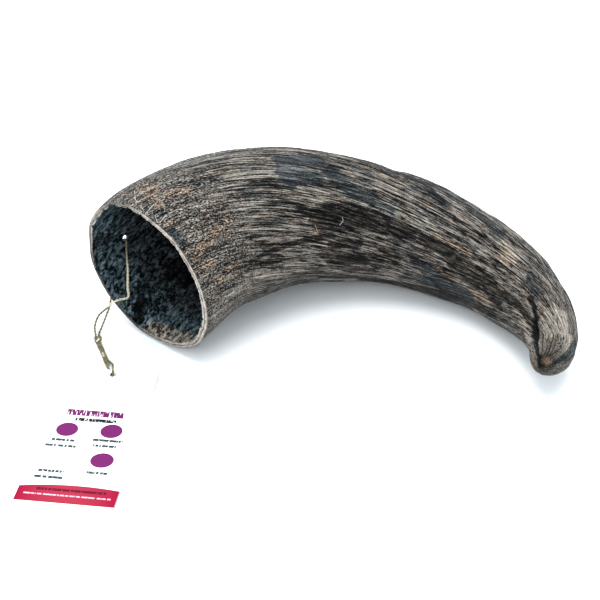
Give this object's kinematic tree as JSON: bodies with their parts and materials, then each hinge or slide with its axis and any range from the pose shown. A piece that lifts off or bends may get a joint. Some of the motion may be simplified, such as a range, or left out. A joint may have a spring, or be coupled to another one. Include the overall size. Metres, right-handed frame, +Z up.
{
  "type": "cow horn",
  "caption": "Hollow curved cow horn, sawn off square at the wide end and blunt at the tip, lying on its side with a blank card tag on thin jute twine.",
  "frame": {"origin": "on the surface that the horn lies on, under the middle of the horn's own bounding box (without the twine and the tag)", "axes": "+X from the sawn end towards the tip, along the horn's longest extent; +Y away from the viewer, towards the outside of the bend; +Z up from the surface"},
  "size_m": [0.2848, 0.2307, 0.092],
  "materials": {
    "horn": null,
    "jute": "dull twisted jute",
    "card": "smooth white card"
  },
  "bodies": {
    "root": {"horn": "horn", "twine": "jute", "tag": "card"}
  },
  "joints": []
}
